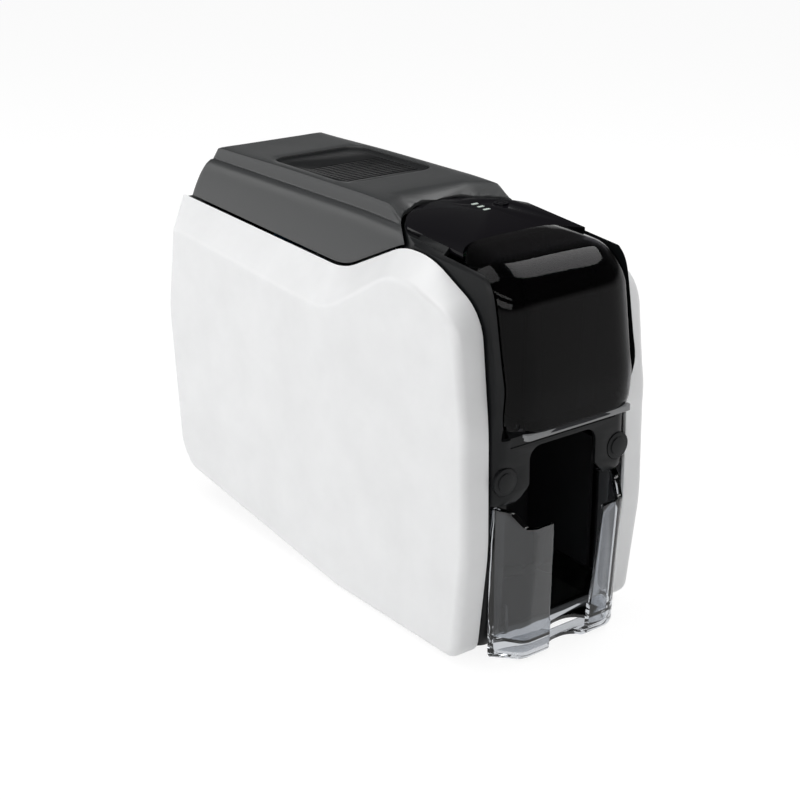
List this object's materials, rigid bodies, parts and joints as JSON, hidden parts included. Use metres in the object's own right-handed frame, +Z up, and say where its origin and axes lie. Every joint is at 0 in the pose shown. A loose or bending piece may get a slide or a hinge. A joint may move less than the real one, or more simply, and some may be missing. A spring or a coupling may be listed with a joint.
{
  "type": "id card printer",
  "caption": "Desktop ID card printer with side covers, hinged roof with print head, clear input door, clear output bin, rollers, gears and ribbon spools.",
  "frame": {"origin": "middle of the bounding box in X and Y, on the surface the feet stand on", "axes": "+X across the printer, +Y from its front with the door to its back, +Z up"},
  "size_m": [0.154, 0.3821, 0.2755],
  "materials": {
    "white_moulding": "satin moulded, very light",
    "grey_moulding": "fine spark-eroded texture",
    "charcoal_moulding": "fine spark-eroded texture",
    "black_moulding": "matt",
    "gloss_black": "high gloss",
    "smoked_clear": "smoked clear polycarbonate",
    "rubber": "matt",
    "roller_rubber": "ground",
    "blue_rubber": "tacky, smooth",
    "steel": "zinc plated",
    "motor_steel": "satin",
    "head_alloy": "anodised",
    "brass": "machined",
    "natural_nylon": "moulded",
    "circuit_board": "solder mask",
    "ribbon_film": "thin glossy film",
    "light_lens": "frosted lens"
  },
  "bodies": {
    "root": {"base_tray": "black_moulding", "rubber_feet": "rubber", "left_cover": "white_moulding", "right_cover": "white_moulding", "rear_panel": "black_moulding", "front_shell": "charcoal_moulding", "control_panel": "gloss_black", "panel_board": "circuit_board", "status_lights": "light_lens", "side_caps": "charcoal_moulding", "input_hopper": "black_moulding", "slot_bezel": "charcoal_moulding", "output_chute": "black_moulding", "door_hinge_pins": "steel", "left_frame": "steel", "right_frame": "steel", "card_tray": "black_moulding", "roller_bushes": "natural_nylon", "timing_belts": "rubber", "feed_motor": "motor_steel", "ribbon_motor": "motor_steel", "ribbon_film": "ribbon_film", "fan_housing": "black_moulding", "main_board": "circuit_board", "power_jack": "black_moulding", "usb_port": "steel", "ethernet_port": "steel", "cover_hinge_pins": "steel", "housing_screws": "steel"},
    "cover": {"top_cover": "grey_moulding", "cover_frame": "black_moulding", "printhead": "head_alloy", "printhead_bracket": "steel"},
    "release": {"release_button": "charcoal_moulding"},
    "latch": {"cover_latch": "black_moulding"},
    "door": {"input_door": "smoked_clear", "door_hinges": "black_moulding"},
    "bin": {"output_bin": "smoked_clear"},
    "power_key": {"power_button": "gloss_black"},
    "pick": {"pick_roller": "roller_rubber", "pick_shaft": "steel"},
    "feed": {"feed_roller": "roller_rubber", "feed_shaft": "steel"},
    "platen": {"platen_roller": "roller_rubber", "platen_shaft": "steel", "platen_gear": "natural_nylon"},
    "exit": {"exit_roller": "roller_rubber", "exit_shaft": "steel"},
    "cleaner": {"cleaning_roller": "blue_rubber"},
    "pincher": {"pinch_roller": "steel"},
    "feed_pinion": {"motor_pinion": "brass"},
    "supply": {"supply_spool": "ribbon_film"},
    "takeup": {"takeup_spool": "ribbon_film", "takeup_gear": "natural_nylon"},
    "take_pinion": {"ribbon_pinion": "brass"},
    "rotor": {"fan_rotor": "black_moulding"}
  },
  "joints": [
    {"name": "cover_hinge", "type": "hinge", "parent": "root", "child": "cover", "pos_m": [0, 0.175, 0.238], "axis": [-1, 0, 0], "range_deg": [0, 75]},
    {"name": "release_press", "type": "slide", "parent": "cover", "child": "release", "axis": [0, 0, -1], "range_m": [0, 0.003], "stiffness_N_per_m": 400},
    {"name": "latch_pivot", "type": "hinge", "parent": "cover", "child": "latch", "pos_m": [0, -0.008, 0.2556], "axis": [-1, 0, 0], "range_deg": [-1, 13]},
    {"name": "door_hinge", "type": "hinge", "parent": "root", "child": "door", "pos_m": [0, -0.178, 0.164], "axis": [1, 0, 0], "range_deg": [0, 75]},
    {"name": "bin_slide", "type": "slide", "parent": "root", "child": "bin", "axis": [0, -1, 0], "range_m": [0, 0.06]},
    {"name": "power_press", "type": "slide", "parent": "root", "child": "power_key", "axis": [0, 0, -1], "range_m": [0, 0.0008], "stiffness_N_per_m": 300},
    {"name": "platen_spin", "type": "hinge", "parent": "root", "child": "platen", "pos_m": [0, 0.04, 0.1425], "axis": [1, 0, 0], "continuous": true},
    {"name": "pick_spin", "type": "hinge", "parent": "root", "child": "pick", "pos_m": [0, -0.105, 0.1425], "axis": [1, 0, 0], "continuous": true},
    {"name": "feed_spin", "type": "hinge", "parent": "root", "child": "feed", "pos_m": [0, -0.062, 0.1425], "axis": [1, 0, 0], "continuous": true},
    {"name": "exit_spin", "type": "hinge", "parent": "root", "child": "exit", "pos_m": [0, 0.11, 0.1425], "axis": [1, 0, 0], "continuous": true},
    {"name": "cleaner_spin", "type": "hinge", "parent": "root", "child": "cleaner", "pos_m": [0, -0.062, 0.1588], "axis": [1, 0, 0], "continuous": true},
    {"name": "pinch_spin", "type": "hinge", "parent": "root", "child": "pincher", "pos_m": [0, 0.11, 0.1588], "axis": [1, 0, 0], "continuous": true},
    {"name": "feed_pinion_spin", "type": "hinge", "parent": "root", "child": "feed_pinion", "pos_m": [0, 0.04, 0.1125], "axis": [1, 0, 0], "continuous": true},
    {"name": "takeup_spin", "type": "hinge", "parent": "root", "child": "takeup", "pos_m": [0, -0.026, 0.203], "axis": [1, 0, 0], "continuous": true},
    {"name": "take_pinion_spin", "type": "hinge", "parent": "root", "child": "take_pinion", "pos_m": [0, -0.026, 0.173], "axis": [1, 0, 0], "continuous": true},
    {"name": "supply_spin", "type": "hinge", "parent": "root", "child": "supply", "pos_m": [0, 0.1, 0.203], "axis": [1, 0, 0], "continuous": true},
    {"name": "rotor_spin", "type": "hinge", "parent": "root", "child": "rotor", "pos_m": [-0.018, 0.171, 0.18], "axis": [0, 1, 0], "continuous": true}
  ],
  "couplings": [
    {"joint": "latch_pivot", "follows": "release_press", "rad_per_m": 69.813},
    {"joint": "pick_spin", "follows": "platen_spin", "ratio": 1},
    {"joint": "feed_spin", "follows": "platen_spin", "ratio": 1},
    {"joint": "exit_spin", "follows": "platen_spin", "ratio": 1},
    {"joint": "cleaner_spin", "follows": "platen_spin", "ratio": -1.2143},
    {"joint": "pinch_spin", "follows": "platen_spin", "ratio": -1.2143},
    {"joint": "feed_pinion_spin", "follows": "platen_spin", "ratio": -4},
    {"joint": "take_pinion_spin", "follows": "takeup_spin", "ratio": -4}
  ]
}
